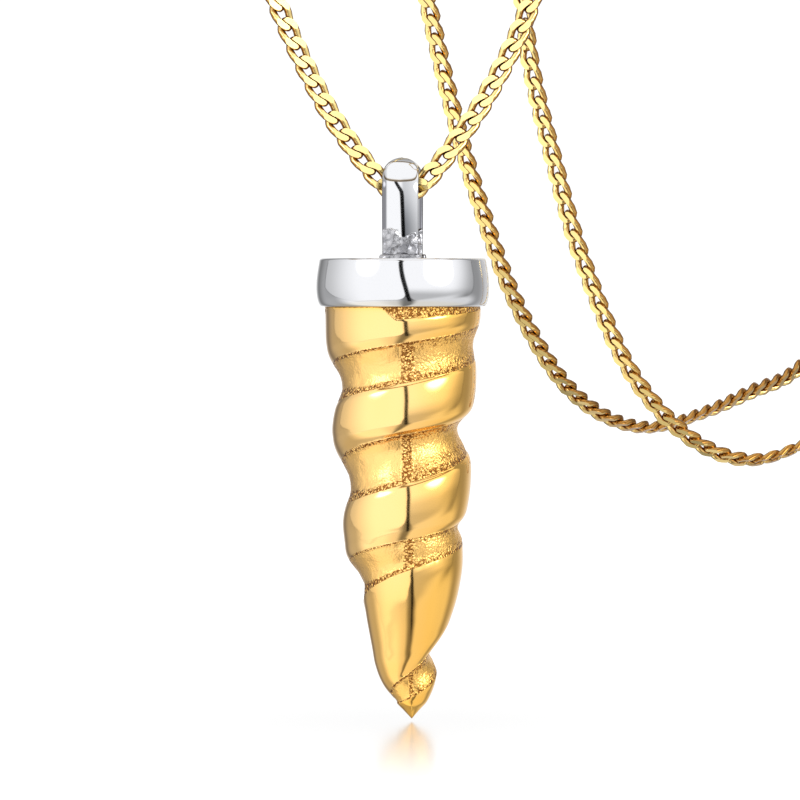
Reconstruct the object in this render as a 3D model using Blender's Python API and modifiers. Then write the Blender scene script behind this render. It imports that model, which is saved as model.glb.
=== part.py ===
"""Unicorn horn pendant hanging from a curb chain.

A gold horn with a carved spiral hangs under a polished steel cap. A steel bail is soldered to the
cap, and the chain passes through it. The chain is one closed loop that lies over a support, which
is not part of the object. Metres, +Z up. The origin is on top of the support, straight above the
pendant. Run with Blender 4.5.
"""

import math

import bmesh
import bpy
import numpy as np
from mathutils import Matrix, Vector

MM = 0.001

# Chain: a closed loop of curb links, kept here as a tube of the links' width
CHAIN_LENGTH = 612.25 * MM
CHAIN_WIDTH = 2.0 * MM
CHAIN_STEP = 5.5 * MM
CHAIN_TURN = math.radians(24)
SEAM_GAP = 0.3 * MM

# Route of the chain's middle, scaled to CHAIN_LENGTH. It starts in the bail, climbs the front left
# strand, crosses the support, falls and climbs again as the rear swag, passes the clasp, which lies
# at the point furthest right, and comes back as the second swag and the front right strand.
CHAIN_ROUTE = [
    (0.0, 0.0, -56.0),
    (-0.95, 0.0, -55.8),
    (-1.8, 0.0, -55.28),
    (-3.5, 0.0, -53.4),
    (-5.9, 0.0, -50.2),
    (-8.0, 0.0, -46.8),
    (-12.5, 0.0, -37.2),
    (-16.8, 0.0, -24.0),
    (-19.6, 0.3, -8.0),
    (-19.8, 4.0, 0.0),
    (-16.0, 11.0, 1.0),
    (-8.0, 23.5, 1.0),
    (-4.6, 29.0, -1.5),
    (-2.6, 31.0, -9.5),
    (0.1, 33.3, -22.5),
    (2.9, 35.8, -35.8),
    (5.0, 37.6, -44.8),
    (8.1, 40.4, -55.6),
    (12.4, 44.4, -67.2),
    (17.6, 49.0, -75.9),
    (22.5, 53.4, -80.0),
    (27.9, 58.2, -81.5),
    (34.5, 64.1, -80.0),
    (40.2, 69.2, -77.8),
    (45.8, 74.4, -75.5),
    (58.5, 85.0, -63.0),
    (66.5, 92.0, -42.0),
    (70.5, 95.5, -14.0),
    (71.8, 94.0, -1.0),
    (72.5, 88.0, 1.0),
    (72.8, 79.0, 1.0),
    (72.7, 70.0, 1.0),
    (72.3, 61.0, 0.5),
    (71.0, 55.5, -4.0),
    (69.0, 52.5, -18.0),
    (65.0, 50.0, -42.0),
    (59.5, 47.0, -63.0),
    (52.0, 43.4, -76.5),
    (45.5, 40.2, -81.6),
    (38.0, 36.6, -84.2),
    (31.6, 33.3, -82.2),
    (24.8, 29.9, -75.3),
    (19.1, 27.0, -62.8),
    (15.9, 25.5, -52.0),
    (13.4, 24.2, -41.7),
    (12.2, 23.4, -30.0),
    (11.2, 22.6, -15.0),
    (10.8, 21.5, -2.5),
    (11.5, 17.5, 1.0),
    (16.0, 8.0, 1.0),
    (18.3, 3.0, -0.5),
    (18.6, 0.2, -8.0),
    (16.2, 0.0, -22.0),
    (12.7, 0.0, -37.3),
    (8.2, 0.0, -46.7),
    (5.9, 0.0, -50.2),
    (3.5, 0.0, -53.4),
    (1.8, 0.0, -55.28),
    (0.95, 0.0, -55.8),
]

# Clasp: one plain lobster-claw shape lying along the chain
CLASP_LENGTH = 11.0 * MM
CLASP_WIDTH = 4.6 * MM
CLASP_THICKNESS = 2.2 * MM
CLASP_BAND = 1.1 * MM
CLASP_EYE = 3.2 * MM
CLASP_EYE_HOLE = 1.2 * MM
CLASP_ROUNDING = 0.35 * MM

# Bail: a strap bent over the chain, domed on top and soldered to the cap
BAIL_CLEARANCE = 1.6 * MM
BAIL_WALL = 0.85 * MM
BAIL_WIDTH = 3.6 * MM
BAIL_REACH = 6.6 * MM
BAIL_TURN = math.radians(-5)
SOLDER_SPREAD = 0.3 * MM
SOLDER_RISE = 0.35 * MM
SOLDER_DEPTH = 0.5 * MM

# Half of the strap's section, from its inner edge to the crown: (share of its half width, share of
# its wall)
BAIL_SECTION = [
    (0.94, 0.0),
    (1.0, 0.2),
    (1.0, 0.55),
    (0.85, 0.86),
    (0.45, 0.97),
    (0.0, 1.0),
]

# Cap: a polished barrel-shaped disc
CAP_HEIGHT = 4.8 * MM
CAP_RADIUS = 8.65 * MM
CAP_TOP_RADIUS = 8.35 * MM
CAP_FOOT_RADIUS = 8.2 * MM
CAP_ROUNDING = 0.3 * MM

# Horn: tapers to a point and carries one right-handed spiral groove, which fades out at both ends
CAP_OVERHANG = 0.4 * MM
SEAT_GAP = 0.1 * MM
HORN_LENGTH = 41.2 * MM
GROOVE_DEPTH = 1.45 * MM
TIP_DRIFT = 0.9 * MM
TIP_DRIFT_POWER = 3
TOP_FADE = 3.3 * MM
TIP_FADE = 6.6 * MM
HORN_COLUMNS = 44

# The horn's outline over its ridges: (share of its length from the top, share of its top radius)
HORN_OUTLINE = [
    (0.0, 1.0),
    (0.07, 0.99),
    (0.134, 0.965),
    (0.256, 0.915),
    (0.366, 0.9),
    (0.488, 0.825),
    (0.56, 0.775),
    (0.63, 0.75),
    (0.69, 0.68),
    (0.751, 0.585),
    (0.824, 0.48),
    (0.87, 0.43),
    (0.915, 0.35),
    (0.939, 0.28),
    (0.962, 0.195),
    (0.976, 0.12),
    (1.0, 0.0),
]

# The ledge under the groove: (turns down from the right side, share of the horn's length, share of
# the groove's full depth just above the ledge, how late the surface falls into the groove)
LEDGE_PATH = [
    (-1.0, -0.1, 0.0, 1.0),
    (-0.5, 0.02, 0.2, 1.0),
    (-0.25, 0.075, 0.4, 0.9),
    (0.0, 0.13, 0.6, 0.8),
    (0.25, 0.184, 0.85, 0.9),
    (0.5, 0.239, 1.0, 1.0),
    (1.0, 0.358, 1.15, 0.8),
    (1.25, 0.427, 1.0, 0.95),
    (1.5, 0.49, 0.95, 1.1),
    (2.0, 0.576, 0.3, 1.25),
    (2.25, 0.636, 0.85, 1.35),
    (2.5, 0.725, 1.2, 1.5),
    (3.0, 0.826, 1.0, 2.6),
    (3.25, 0.945, 0.4, 2.0),
    (3.5, 1.04, 0.0, 1.0),
    (5.0, 1.6, 0.0, 1.0),
]

# The surface between two ledges: (share of the way down, share of the groove's depth)
GROOVE_SECTION = [
    (0.0, 0.3),
    (0.05, 0.12),
    (0.14, 0.0),
    (0.3, 0.02),
    (0.44, 0.14),
    (0.56, 0.45),
    (0.67, 0.85),
    (0.79, 1.0),
    (0.9, 0.92),
    (0.97, 0.8),
]

SCREW_STEPS = 64
CAP_ROWS = 8
ROUNDING_ROWS = 3
ARC_STEPS = 20
MERGE = 0.00001


def clear_scene():
    for old in list(bpy.data.objects):
        bpy.data.objects.remove(old, do_unlink=True)


def new_collection(name):
    made = bpy.data.collections.new(name)
    bpy.context.scene.collection.children.link(made)
    return made


def metal(name, colour, roughness):
    made = bpy.data.materials.new(name)
    made.use_nodes = True
    shader = made.node_tree.nodes["Principled BSDF"]
    shader.inputs["Base Color"].default_value = (*colour, 1.0)
    shader.inputs["Roughness"].default_value = roughness
    shader.inputs["Metallic"].default_value = 1.0
    made.diffuse_color = (*colour, 1.0)
    return made


def add_object(name, data, collection, location=(0, 0, 0), material=None):
    made = bpy.data.objects.new(name, data)
    collection.objects.link(made)
    made.location = location
    if material:
        data.materials.append(material)
    return made


def as_helper(made):
    made.hide_render = True
    made.display_type = "WIRE"
    return made


def smooth_column(at, table, column):
    """A table's column read between its rows with a smooth curve."""
    rows = np.array(table, float)
    x, y = rows[:, 0], rows[:, column]
    slope = np.gradient(y, x)
    at = np.clip(at, x[0], x[-1])
    i = np.clip(np.searchsorted(x, at, side="right") - 1, 0, len(x) - 2)
    width = x[i + 1] - x[i]
    t = (at - x[i]) / width
    rise = (y[i + 1] - y[i]) * (3 - 2 * t) * t**2
    bend = width * (slope[i] * t * (1 - t) ** 2 - slope[i + 1] * t**2 * (1 - t))
    return y[i] + rise + bend


def closed_curve(points, per_span=24):
    """A smooth closed curve through the points, and the number of samples in each span."""
    pts = np.array(points, float)
    out = []
    for i in range(len(pts)):
        p0, p1, p2, p3 = (pts[(i + k) % len(pts)] for k in (-1, 0, 1, 2))
        t1 = math.sqrt(np.linalg.norm(p1 - p0))
        t2 = t1 + math.sqrt(np.linalg.norm(p2 - p1))
        t3 = t2 + math.sqrt(np.linalg.norm(p3 - p2))
        t = np.linspace(t1, t2, per_span, endpoint=False)[:, None]
        a1 = (t1 - t) / t1 * p0 + t / t1 * p1
        a2 = (t2 - t) / (t2 - t1) * p1 + (t - t1) / (t2 - t1) * p2
        a3 = (t3 - t) / (t3 - t2) * p2 + (t - t2) / (t3 - t2) * p3
        b1 = (t2 - t) / t2 * a1 + t / t2 * a2
        b2 = (t3 - t) / (t3 - t1) * a2 + (t - t1) / (t3 - t1) * a3
        out.append((t2 - t) / (t2 - t1) * b1 + (t - t1) / (t2 - t1) * b2)
    return np.concatenate(out), per_span


class Loop:
    """The chain's route, measured along its length from the bail."""

    def __init__(self):
        samples, per_span = closed_curve(CHAIN_ROUTE)
        self.points = np.vstack([samples, samples[:1]])
        runs = np.linalg.norm(np.diff(self.points, axis=0), axis=1)
        self.points *= CHAIN_LENGTH / runs.sum()
        self.along = np.concatenate([[0.0], np.cumsum(runs)]) * CHAIN_LENGTH / runs.sum()
        self.length = self.along[-1]
        furthest_right = max(range(len(CHAIN_ROUTE)), key=lambda k: CHAIN_ROUTE[k][0])
        self.clasp = self.along[furthest_right * per_span]

    def at(self, s):
        return np.array([np.interp(s, self.along, self.points[:, k]) for k in range(3)])

    def direction(self, s):
        step = CHAIN_WIDTH / 4
        ahead = self.at(s + step) - self.at(s - step)
        return ahead / np.linalg.norm(ahead)

    def stretch(self, start, end):
        """Points from start to end: one wherever the curve has run a step or turned enough.

        A short first and last span keeps the end faces square to the route.
        """
        square = CHAIN_WIDTH / 8
        inside = (self.along > start + square) & (self.along < end - square)
        dense = [self.at(start + square), *self.points[inside], self.at(end - square)]
        chosen = [self.at(start), dense[0]]
        run = 0.0
        last = self.direction(start)
        for k in range(1, len(dense) - 1):
            run += np.linalg.norm(dense[k] - dense[k - 1])
            way = dense[k + 1] - dense[k]
            size = np.linalg.norm(way)
            if size < MERGE:
                continue
            way = way / size
            if run > CHAIN_STEP or (run > CHAIN_WIDTH / 3 and way @ last < math.cos(CHAIN_TURN)):
                chosen.append(dense[k])
                run = 0.0
                last = way
        if np.linalg.norm(chosen[-1] - dense[-1]) < CHAIN_WIDTH / 3:
            chosen.pop()
        return chosen + [dense[-1], self.at(end)]


def chain_half(name, loop, start, end, collection, material):
    curve = bpy.data.curves.new(name, "CURVE")
    curve.dimensions = "3D"
    curve.bevel_depth = CHAIN_WIDTH / 2
    curve.bevel_resolution = 2
    curve.use_fill_caps = True
    points = loop.stretch(start, end)
    spline = curve.splines.new("POLY")
    spline.points.add(len(points) - 1)
    for point, place in zip(spline.points, points):
        point.co = (*place, 1.0)
    return add_object(name, curve, collection, material=material)


def ring_points(length, width, centre):
    """The outline of a slot with round ends, along X."""
    radius = width / 2
    half = (length - width) / 2
    out = []
    for side in (1, -1):
        for k in range(ARC_STEPS // 2 + 1):
            angle = side * math.pi / 2 * (2 * k / (ARC_STEPS // 2) - 1)
            x = centre + side * (half + radius * math.cos(angle))
            out.append((x, radius * math.sin(angle)))
    return out


def claw_outline():
    """The claw's outer outline: a wide round body that narrows to the eye."""
    body = CLASP_WIDTH / 2
    eye = CLASP_EYE / 2
    top = []
    for angle in np.linspace(0, math.pi, ARC_STEPS + 1):
        narrowing = (0.5 - 0.5 * math.cos(angle)) ** 2
        half_width = body + (eye - body) * narrowing
        top.append((CLASP_LENGTH / 2 * math.cos(angle), half_width * math.sqrt(math.sin(angle))))
    return top + [(x, -y) for x, y in reversed(top[1:-1])]


def make_clasp(loop, collection, material):
    curve = bpy.data.curves.new("clasp", "CURVE")
    curve.dimensions = "2D"
    curve.fill_mode = "BOTH"
    curve.extrude = CLASP_THICKNESS / 2 - CLASP_ROUNDING
    curve.bevel_depth = CLASP_ROUNDING
    curve.bevel_resolution = 1
    curve.offset = -CLASP_ROUNDING
    slot_length = CLASP_LENGTH - CLASP_EYE - 2 * CLASP_BAND
    slot_middle = CLASP_LENGTH / 2 - CLASP_BAND - slot_length / 2
    slot = ring_points(slot_length, CLASP_WIDTH - 2 * CLASP_BAND, slot_middle)
    eye = ring_points(CLASP_EYE_HOLE, CLASP_EYE_HOLE, CLASP_EYE / 2 - CLASP_LENGTH / 2)
    for outline in (claw_outline(), slot, eye):
        spline = curve.splines.new("POLY")
        spline.points.add(len(outline) - 1)
        spline.use_cyclic_u = True
        for point, (x, y) in zip(spline.points, outline):
            point.co = (x, y, 0.0, 1.0)
    x, y, _ = loop.at(loop.clasp)
    way = loop.direction(loop.clasp)
    made = add_object("clasp", curve, collection, (x, y, CLASP_THICKNESS / 2), material)
    made.rotation_euler = (0, 0, math.atan2(way[1], way[0]))
    return made


def turned(name, profile, collection, location, material):
    """A turned solid from a profile of (radius, height) that runs down its outer side."""
    mesh = bpy.data.meshes.new(name)
    mesh.from_pydata([(r, 0, z) for r, z in profile], [(k, k + 1) for k in range(len(profile) - 1)], [])
    made = add_object(name, mesh, collection, location, material)
    screw = made.modifiers.new("Turn", "SCREW")
    screw.steps = SCREW_STEPS
    screw.render_steps = SCREW_STEPS
    screw.use_merge_vertices = True
    screw.merge_threshold = MERGE
    screw.use_smooth_shade = True
    return made


def cap_profile():
    """The barrel side between two rounded edges, from the middle of the top to that of the foot."""
    top = -BAIL_REACH
    foot = top - CAP_HEIGHT
    arc = [math.pi / 2 * k / ROUNDING_ROWS for k in range(ROUNDING_ROWS + 1)]
    profile = [(0.0, top)]
    for angle in arc:
        radius = CAP_TOP_RADIUS - CAP_ROUNDING * (1 - math.sin(angle))
        profile.append((radius, top - CAP_ROUNDING * (1 - math.cos(angle))))
    for k in range(1, CAP_ROWS):
        share = k / CAP_ROWS
        straight = CAP_TOP_RADIUS + (CAP_FOOT_RADIUS - CAP_TOP_RADIUS) * share
        bulge = (CAP_RADIUS - (CAP_TOP_RADIUS + CAP_FOOT_RADIUS) / 2) * math.sin(math.pi * share)
        height = top - CAP_ROUNDING - (CAP_HEIGHT - 2 * CAP_ROUNDING) * share
        profile.append((straight + bulge, height))
    for angle in arc:
        radius = CAP_FOOT_RADIUS - CAP_ROUNDING * (1 - math.cos(angle))
        profile.append((radius, foot + CAP_ROUNDING * (1 - math.sin(angle))))
    profile.append((0.0, foot))
    return profile


def strap_stations():
    """Stations along the strap: the way out from the chain's middle, as (y, z), and the drop."""
    foot = -BAIL_REACH - SOLDER_DEPTH
    angles = [math.pi * k / ARC_STEPS for k in range(ARC_STEPS + 1)]
    over = [(math.cos(angle), math.sin(angle), 0.0) for angle in angles]
    return [(1.0, 0.0, foot), *over, (-1.0, 0.0, foot)]


def strap_ring(y_way, z_way, drop):
    """The strap's section at one station. Near the top it narrows, so that the bail ends in a dome."""
    hole = CHAIN_WIDTH / 2 + BAIL_CLEARANCE
    half = BAIL_WIDTH / 2
    dome_middle = hole + BAIL_WALL - half
    left = [(-share, wall) for share, wall in BAIL_SECTION]
    right = [(share, wall) for share, wall in reversed(BAIL_SECTION[:-1])]
    ring = []
    for share, wall in left + right:
        radius = hole + BAIL_WALL * wall
        height = z_way * radius + drop
        above = max(0.0, height - dome_middle)
        limit = math.sqrt(max(0.0, half**2 - above**2))
        ring.append((max(-limit, min(limit, share * half)), y_way * radius, height))
    return ring


def make_strap(collection, location):
    bm = bmesh.new()
    rings = [[bm.verts.new(place) for place in strap_ring(*station)] for station in strap_stations()]
    for ring, following in zip(rings, rings[1:]):
        for k in range(len(ring)):
            bm.faces.new((ring[k - 1], ring[k], following[k], following[k - 1]))
    bm.faces.new(rings[0])
    bm.faces.new(rings[-1])
    bmesh.ops.recalc_face_normals(bm, faces=bm.faces)
    mesh = bpy.data.meshes.new("bail_strap")
    bm.to_mesh(mesh)
    bm.free()
    strap = add_object("bail_strap", mesh, collection, location)
    strap.rotation_euler = (0, 0, BAIL_TURN)
    return as_helper(strap)


def make_solder(name, side, collection, location):
    """The low bead of solder around one foot of the strap."""
    middle = side * (CHAIN_WIDTH / 2 + BAIL_CLEARANCE + BAIL_WALL / 2)
    size = (
        BAIL_WIDTH + 2 * SOLDER_SPREAD,
        BAIL_WALL + 2 * SOLDER_SPREAD,
        SOLDER_RISE + SOLDER_DEPTH / 2,
    )
    bm = bmesh.new()
    place = Matrix.Translation((0, middle, -BAIL_REACH + (SOLDER_RISE - SOLDER_DEPTH / 2) / 2))
    bmesh.ops.create_cube(bm, size=1.0, matrix=place @ Matrix.Diagonal((*size, 1.0)))
    mesh = bpy.data.meshes.new(name)
    bm.to_mesh(mesh)
    bm.free()
    bead = add_object(name, mesh, collection, location)
    edges = bead.modifiers.new("Edges", "BEVEL")
    edges.width = SOLDER_RISE / 2
    edges.segments = 2
    bead.rotation_euler = (0, 0, BAIL_TURN)
    return as_helper(bead)


def join(made, other):
    union = made.modifiers.new("Join " + other.name, "BOOLEAN")
    union.operation = "UNION"
    union.solver = "EXACT"
    union.object = other


def make_cap_with_bail(collection, helpers, pivot, material):
    cap = turned("cap_with_bail", cap_profile(), collection, pivot, material)
    join(cap, make_strap(helpers, pivot))
    for name, side in (("solder_front", -1), ("solder_back", 1)):
        join(cap, make_solder(name, side, helpers, pivot))
    return cap


def horn_point(turn, section, column):
    """A point of the horn's surface: a section's share of the way from a column's ledge to the next."""
    around = column / HORN_COLUMNS
    share_down, cut = section
    nominal = turn + share_down + around
    lean = float(smooth_column(nominal, LEDGE_PATH, 3))
    along = turn + share_down ** (1 / lean) + around
    share = float(np.clip(smooth_column(along, LEDGE_PATH, 1), 0.0, 1.0))
    depth = GROOVE_DEPTH * cut * float(smooth_column(nominal, LEDGE_PATH, 2))
    below, above = share * HORN_LENGTH, (1.0 - share) * HORN_LENGTH
    fade = min(1.0, below / TOP_FADE, above / TIP_FADE)
    ridge = (CAP_FOOT_RADIUS - CAP_OVERHANG) * float(smooth_column(share, HORN_OUTLINE, 1))
    radius = max(0.0, ridge - depth * fade)
    angle = -2 * math.pi * around
    drift = TIP_DRIFT * share**TIP_DRIFT_POWER
    top = -BAIL_REACH - CAP_HEIGHT - SEAT_GAP
    x, y = drift + radius * math.cos(angle), radius * math.sin(angle)
    return Vector((x, y, top - HORN_LENGTH * share))


def make_horn(collection, pivot, material):
    """The horn as a helical grid: rows follow the spiral, so its ledge stays crisp."""
    rows_a_turn = len(GROOVE_SECTION)
    first = int(LEDGE_PATH[0][0]) - 1
    last = int(LEDGE_PATH[-1][0])
    bm = bmesh.new()
    grid = []
    for row in range((last - first) * rows_a_turn):
        turn, section = first + row // rows_a_turn, GROOVE_SECTION[row % rows_a_turn]
        ring = [horn_point(turn, section, column) for column in range(HORN_COLUMNS)]
        grid.append([bm.verts.new(place) for place in ring])
    for row in range(len(grid) - 1 - rows_a_turn):
        for column in range(HORN_COLUMNS):
            near = (grid[row][column], grid[row + 1][column])
            step, back = divmod(column + 1, HORN_COLUMNS)
            beside = row + step * rows_a_turn
            bm.faces.new((near[0], grid[beside][back], grid[beside + 1][back], near[1]))
    bmesh.ops.remove_doubles(bm, verts=bm.verts, dist=MERGE)
    loose = [vert for vert in bm.verts if not vert.link_faces]
    bmesh.ops.delete(bm, geom=loose, context="VERTS")
    bmesh.ops.holes_fill(bm, edges=[edge for edge in bm.edges if edge.is_boundary])
    bmesh.ops.recalc_face_normals(bm, faces=bm.faces)
    mesh = bpy.data.meshes.new("horn")
    bm.to_mesh(mesh)
    bm.free()
    mesh.shade_smooth()
    mesh.set_sharp_from_angle(angle=math.radians(35))
    return add_object("horn", mesh, collection, pivot, material)


def main():
    clear_scene()
    parts = new_collection("unicorn_pendant")
    helpers = new_collection("joined_shapes")
    helpers.hide_render = True
    gold = metal("gold", (0.9, 0.66, 0.27), 0.2)
    steel = metal("steel", (0.78, 0.79, 0.81), 0.12)
    loop = Loop()
    pivot = Vector(loop.points[0])
    swing = bpy.data.objects.new("pendant_swing", None)
    swing.location = pivot
    parts.objects.link(swing)
    for made in (
        make_cap_with_bail(parts, helpers, pivot, steel),
        make_horn(parts, pivot, gold),
    ):
        made.parent = swing
        made.location = (0, 0, 0)
    half_clasp = CLASP_LENGTH / 2 + SEAM_GAP
    left = (SEAM_GAP / 2, loop.clasp - half_clasp)
    right = (loop.clasp + half_clasp, loop.length - SEAM_GAP / 2)
    chain_half("chain_left", loop, *left, parts, gold)
    chain_half("chain_right", loop, *right, parts, gold)
    make_clasp(loop, parts, gold)


main()
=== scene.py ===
"""The unicorn horn pendant and its curb chain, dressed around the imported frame. Metres, +Z up."""

import math

import bmesh
import bpy
import numpy as np
from mathutils import Matrix, Vector


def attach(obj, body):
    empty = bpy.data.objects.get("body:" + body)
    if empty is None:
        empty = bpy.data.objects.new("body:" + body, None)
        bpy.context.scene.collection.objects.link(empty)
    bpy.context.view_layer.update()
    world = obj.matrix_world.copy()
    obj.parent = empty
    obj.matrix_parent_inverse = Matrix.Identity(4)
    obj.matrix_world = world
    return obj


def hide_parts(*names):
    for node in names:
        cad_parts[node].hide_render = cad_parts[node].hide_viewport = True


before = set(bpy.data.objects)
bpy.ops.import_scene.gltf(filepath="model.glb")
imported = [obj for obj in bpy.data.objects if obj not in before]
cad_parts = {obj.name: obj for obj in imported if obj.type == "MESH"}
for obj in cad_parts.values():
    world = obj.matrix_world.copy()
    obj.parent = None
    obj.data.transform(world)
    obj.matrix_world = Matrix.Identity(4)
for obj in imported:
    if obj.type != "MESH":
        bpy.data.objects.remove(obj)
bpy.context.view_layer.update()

MM = 0.001
NECKLACE, PENDANT = "necklace", "pendant"

# Chain
CHAIN_LENGTH = 612.25 * MM
LINK_WIDTH = 2.2 * MM
LINK_WIRE = 0.76 * MM
LINK_LENGTH = 3.62 * MM
LINK_PITCH = 2.08 * MM
LINK_TURN = math.radians(114)
LINK_FLAT = 0.44 * MM
LINK_OVAL = 0.45
LINK_TILT = math.radians(3)
CUT_TOLERANCE = 0.001 * MM
CLASP_RING_RADIUS = 1.5 * MM
CLASP_RING_WIRE = 0.55 * MM
# Along the chain from the clasp's middle to its rings, and to the first links
CLASP_TO_RING = 5.4 * MM
CLASP_TO_LINKS = 6.9 * MM
# Where the front strands end on the left and start on the right, in points of the route
FRONT_LEFT_END = 9.5
FRONT_RIGHT_START = 48.5
CHAIN_ROUTE = [
    (0.0, 0.0, -56.0), (-0.95, 0.0, -55.8), (-1.8, 0.0, -55.28), (-3.5, 0.0, -53.4),
    (-5.9, 0.0, -50.2), (-8.0, 0.0, -46.8), (-12.5, 0.0, -37.2), (-16.8, 0.0, -24.0),
    (-19.6, 0.3, -8.0), (-19.8, 4.0, 0.0), (-16.0, 11.0, 1.0), (-8.0, 23.5, 1.0),
    (-4.6, 29.0, -1.5), (-2.6, 31.0, -9.5), (0.1, 33.3, -22.5), (2.9, 35.8, -35.8),
    (5.0, 37.6, -44.8), (8.1, 40.4, -55.6), (12.4, 44.4, -67.2), (17.6, 49.0, -75.9),
    (22.5, 53.4, -80.0), (27.9, 58.2, -81.5), (34.5, 64.1, -80.0), (40.2, 69.2, -77.8),
    (45.8, 74.4, -75.5), (58.5, 85.0, -63.0), (66.5, 92.0, -42.0), (70.5, 95.5, -14.0),
    (71.8, 94.0, -1.0), (72.5, 88.0, 1.0), (72.8, 79.0, 1.0), (72.7, 70.0, 1.0),
    (72.3, 61.0, 0.5), (71.0, 55.5, -4.0), (69.0, 52.5, -18.0), (65.0, 50.0, -42.0),
    (59.5, 47.0, -63.0), (52.0, 43.4, -76.5), (45.5, 40.2, -81.6), (38.0, 36.6, -84.2),
    (31.6, 33.3, -82.2), (24.8, 29.9, -75.3), (19.1, 27.0, -62.8), (15.9, 25.5, -52.0),
    (13.4, 24.2, -41.7), (12.2, 23.4, -30.0), (11.2, 22.6, -15.0), (10.8, 21.5, -2.5),
    (11.5, 17.5, 1.0), (16.0, 8.0, 1.0), (18.3, 3.0, -0.5), (18.6, 0.2, -8.0),
    (16.2, 0.0, -22.0), (12.7, 0.0, -37.3), (8.2, 0.0, -46.7), (5.9, 0.0, -50.2),
    (3.5, 0.0, -53.4), (1.8, 0.0, -55.28), (0.95, 0.0, -55.8),
]

# Which way the links' flat faces look: (points of the route passed, turn to the right in degrees,
# share of looking up)
CHAIN_FACING = [
    (0, 0, 0.0), (3, 22, 0.0), (8, 22, 0.0), (10, 0, 1.0), (11, 0, 1.0), (13, -32, 0.4),
    (15, -34, 0.3), (17, -38, 0.0), (18, -40, -0.3), (20, -20, -0.6), (21, -5, -0.62),
    (23, 10, -0.45), (26, 10, -0.4), (29, 0, 1.0), (31, 0, 1.0), (34, -10, 0.0), (37, 0, -0.7),
    (39, 0, -0.7), (40, -30, -0.5), (41, -40, -0.3), (42, -42, 0.0), (44, -38, 0.2),
    (46, -34, 0.3), (48, 0, 1.0),
    (49, 0, 1.0), (51, -22, 0.0), (56, -22, 0.0), (59, 0, 0.0),
]

# Pendant: everything below is measured down from the chain's middle
BAIL_HOLE = 2.6 * MM
BAIL_WALL = 0.85 * MM
BAIL_WIDTH = 3.6 * MM
BAIL_REACH = 6.6 * MM
BAIL_TURN = math.radians(-5)
BAIL_EDGE = 0.5
BAIL_LEAN = 0.45 * MM
BAIL_DRAWS = 16
CAP_HEIGHT = 4.8 * MM
CAP_RADIUS = 8.65 * MM
CAP_TOP_RADIUS = 8.35 * MM
CAP_FOOT_RADIUS = 8.2 * MM
CAP_ROUNDING = 0.3 * MM
CAP_FOOT_BEND = 1.9 * MM
CAP_FOOT_INSET = 0.1 * MM
CAP_OVERHANG = 0.4 * MM
HORN_LENGTH = 41.3 * MM
GROOVE_DEPTH = 1.45 * MM
TIP_DRIFT = 0.9 * MM
SOLDER_SIZE = (4.2 * MM, 1.5 * MM, 0.7 * MM)
SOLDER_BEVEL = 0.22 * MM
SOLDER_RISE = 0.05 * MM
SOLDER_LUMPS = 0.7 * MM
SOLDER_UNEVEN = 0.25 * MM
MERGE_WITHIN = 0.002 * MM
HORN_MERGE_WITHIN = 0.004 * MM

# The horn's outline over its ridges: (share of its length, share of its top radius)
HORN_OUTLINE = [
    (0.0, 1.0), (0.07, 0.99), (0.134, 0.965), (0.256, 0.915), (0.366, 0.9), (0.488, 0.825),
    (0.56, 0.775), (0.63, 0.75), (0.69, 0.68), (0.751, 0.585), (0.824, 0.48), (0.87, 0.43),
    (0.915, 0.35), (0.939, 0.28), (0.962, 0.195), (0.976, 0.12), (1.0, 0.0),
]

# The ledge under the groove: (turns down from the right side, share of the horn's length, share of
# the groove's depth above it, how late the surface falls into the groove)
LEDGE_PATH = [
    (-1.0, -0.1, 0.0, 1.0), (-0.5, 0.02, 0.2, 1.0), (-0.25, 0.075, 0.4, 0.9), (0.0, 0.13, 0.6, 0.8),
    (0.25, 0.184, 0.85, 0.9), (0.5, 0.239, 1.0, 1.0), (1.0, 0.358, 1.15, 0.8),
    (1.25, 0.427, 1.0, 0.95), (1.5, 0.49, 0.95, 1.1), (2.0, 0.576, 0.3, 1.25),
    (2.25, 0.636, 0.85, 1.35), (2.5, 0.725, 1.2, 1.4), (3.0, 0.893, 0.85, 1.55),
    (3.25, 0.947, 0.8, 1.68), (3.5, 0.97, 0.5, 1.5), (3.75, 1.02, 0.0, 1.2), (5.0, 1.6, 0.0, 1.0),
]

# The surface between two ledges: (share of the way down, share of the groove's depth)
GROOVE_SECTION = [
    (0.0, 0.4), (0.04, 0.27), (0.09, 0.17), (0.15, 0.09), (0.22, 0.035), (0.3, 0.0), (0.42, 0.025),
    (0.5, 0.11), (0.55, 0.26), (0.6, 0.51), (0.66, 0.8), (0.73, 0.98), (0.79, 1.0), (0.87, 0.87),
    (0.93, 0.65), (0.97, 0.51), (1.0, 0.4),
]
# Rows of the grid between two ledges: (share of the way down, rows up to the next share)
SECTION_ROWS = [(0.0, 10), (0.14, 14), (0.44, 12), (0.56, 40), (0.93, 12)]
HORN_COLUMNS = 240

# The rough lens under the cap: (degrees round from the front, height in mm)
CAP_LENS = [(-16, 0.0), (-4, 1.25), (10, 1.1), (80, 0.35), (95, 0.0)]
LENS_DEPTH = 0.12 * MM

# The photograph's view and the floor under the tip
CAMERA_PLACE = (-0.28 * MM, -449.8 * MM, -64.2 * MM)
CAMERA_LENS, CAMERA_FILM = 202.5, 36.0
CAMERA_DIP = 1.6
FLOOR_HEIGHT = -108.9 * MM
FLOOR_MIRROR_REACH = 74.0 * MM


def deselect_all():
    if bpy.context.mode != "OBJECT":
        bpy.ops.object.mode_set(mode="OBJECT")
    bpy.ops.object.select_all(action="DESELECT")


def pick(obj):
    deselect_all()
    obj.select_set(True)
    bpy.context.view_layer.objects.active = obj
    return obj


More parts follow.
